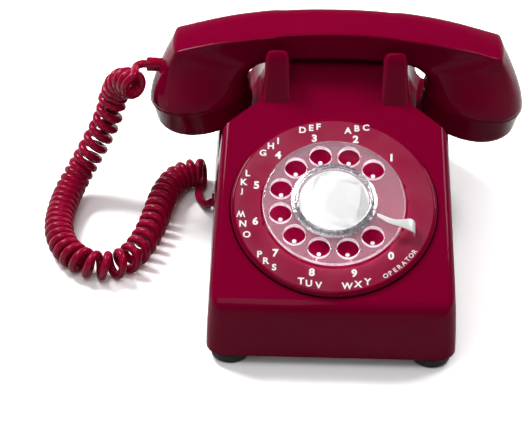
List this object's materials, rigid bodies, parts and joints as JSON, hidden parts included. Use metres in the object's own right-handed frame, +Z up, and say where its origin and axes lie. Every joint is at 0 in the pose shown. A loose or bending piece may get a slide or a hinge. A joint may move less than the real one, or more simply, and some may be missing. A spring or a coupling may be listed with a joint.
{
  "type": "rotary telephone",
  "caption": "Desk telephone with a rotary dial, a cradle with a handset, and a curly handset cord.",
  "frame": {"origin": "centre of the footprint's box on the surface under the feet, without the handset cord", "axes": "+X to the user's right along the handset, +Y from the dial to the back, +Z up"},
  "size_m": [0.3102, 0.234, 0.1367],
  "materials": {
    "cherry_plastic": "glossy moulded",
    "cap_plastic": "glossy moulded",
    "cord_vinyl": "glossy vinyl",
    "clear_plastic": "clear moulded",
    "card": "plain white card",
    "bright_steel": "polished",
    "plated_steel": "zinc plated",
    "brass": "plain",
    "black_rubber": "matt",
    "black_plastic": "moulded",
    "coil_tape": "wound tape"
  },
  "bodies": {
    "base": {"housing": "cherry_plastic", "base_plate": "plated_steel", "feet": "black_rubber", "foot_rivets": "plated_steel", "housing_screws": "plated_steel", "number_plate": "cherry_plastic", "dial_frame": "plated_steel", "dial_bracket": "plated_steel", "dial_rear_bridge": "plated_steel", "finger_stop": "bright_steel", "return_spring": "plated_steel", "governor_cup": "plated_steel", "pulse_contacts": "brass", "ringer_frame": "plated_steel", "ringer_coils": "coil_tape", "ringer_magnet": "plated_steel", "gong_low": "brass", "gong_high": "brass", "gong_posts": "plated_steel", "volume_wheel_bracket": "plated_steel", "network_block": "black_plastic", "network_screws": "brass", "hook_switch_bracket": "plated_steel", "hook_switch_pivot": "plated_steel", "hook_switch_contacts": "brass", "line_inlet": "black_rubber", "base_cord_plug": "cord_vinyl", "handset_tail": "cord_vinyl", "curly_cord": "cord_vinyl", "base_tail": "cord_vinyl"},
    "handset": {"handset_body": "cherry_plastic", "transmitter_cap": "cap_plastic", "receiver_cap": "cap_plastic", "transmitter_unit": "plated_steel", "receiver_unit": "plated_steel", "handset_grommet": "cord_vinyl"},
    "dial": {"finger_wheel": "clear_plastic", "number_card": "card", "card_cover": "clear_plastic", "card_retainer": "bright_steel", "dial_shaft": "plated_steel", "main_gear": "brass"},
    "dial_intermediate": {"intermediate_gear": "brass"},
    "dial_governor": {"governor_rotor": "brass"},
    "bell_clapper": {"clapper": "plated_steel"},
    "bell_volume": {"volume_wheel": "plated_steel"},
    "hook_lever": {"hook_switch_lever": "plated_steel"},
    "hook_plunger_left": {"plunger_left": "black_plastic"},
    "hook_plunger_right": {"plunger_right": "black_plastic"}
  },
  "joints": [
    {"name": "handset_lift", "type": "slide", "parent": "base", "child": "handset", "axis": [0, 0, 1], "range_m": [0, 0.06]},
    {"name": "dial_turn", "type": "hinge", "parent": "base", "child": "dial", "pos_m": [0, -0.04539, 0.07072], "axis": [0, -0.3746, 0.9272], "range_deg": [-318, 0], "stiffness_Nm_per_rad": 0.01, "springref_deg": 17.19},
    {"name": "intermediate_spin", "type": "hinge", "parent": "base", "child": "dial_intermediate", "pos_m": [-0.02598, -0.02624, 0.06336], "axis": [0, -0.3746, 0.9272], "range_deg": [0, 1590]},
    {"name": "governor_spin", "type": "hinge", "parent": "base", "child": "dial_governor", "pos_m": [-0.0208, -0.00832, 0.0706], "axis": [0, -0.3746, 0.9272], "range_deg": [-4770, 0]},
    {"name": "clapper_swing", "type": "hinge", "parent": "base", "child": "bell_clapper", "pos_m": [0, -0.005, 0.022], "axis": [0, 0, 1], "range_deg": [-2.5, 2.5], "stiffness_Nm_per_rad": 0.002},
    {"name": "volume_turn", "type": "hinge", "parent": "base", "child": "bell_volume", "pos_m": [0.048, 0.004, 0.0186], "axis": [1, 0, 0], "range_deg": [0, 120]},
    {"name": "hook_plunger_left_slide", "type": "slide", "parent": "base", "child": "hook_plunger_left", "axis": [0, 0, 1], "range_m": [0, 0.006]},
    {"name": "hook_plunger_right_slide", "type": "slide", "parent": "base", "child": "hook_plunger_right", "axis": [0, 0, 1], "range_m": [0, 0.006]},
    {"name": "hook_lever_tilt", "type": "hinge", "parent": "base", "child": "hook_lever", "pos_m": [0, 0.042, 0.094], "axis": [1, 0, 0], "range_deg": [0, 12.5]}
  ],
  "couplings": [
    {"joint": "hook_plunger_left_slide", "follows": "handset_lift", "ratio": 0.1},
    {"joint": "hook_plunger_right_slide", "follows": "handset_lift", "ratio": 0.1},
    {"joint": "hook_lever_tilt", "follows": "handset_lift", "rad_per_m": 3.6361},
    {"joint": "intermediate_spin", "follows": "dial_turn", "ratio": -5},
    {"joint": "governor_spin", "follows": "dial_turn", "ratio": 15}
  ]
}
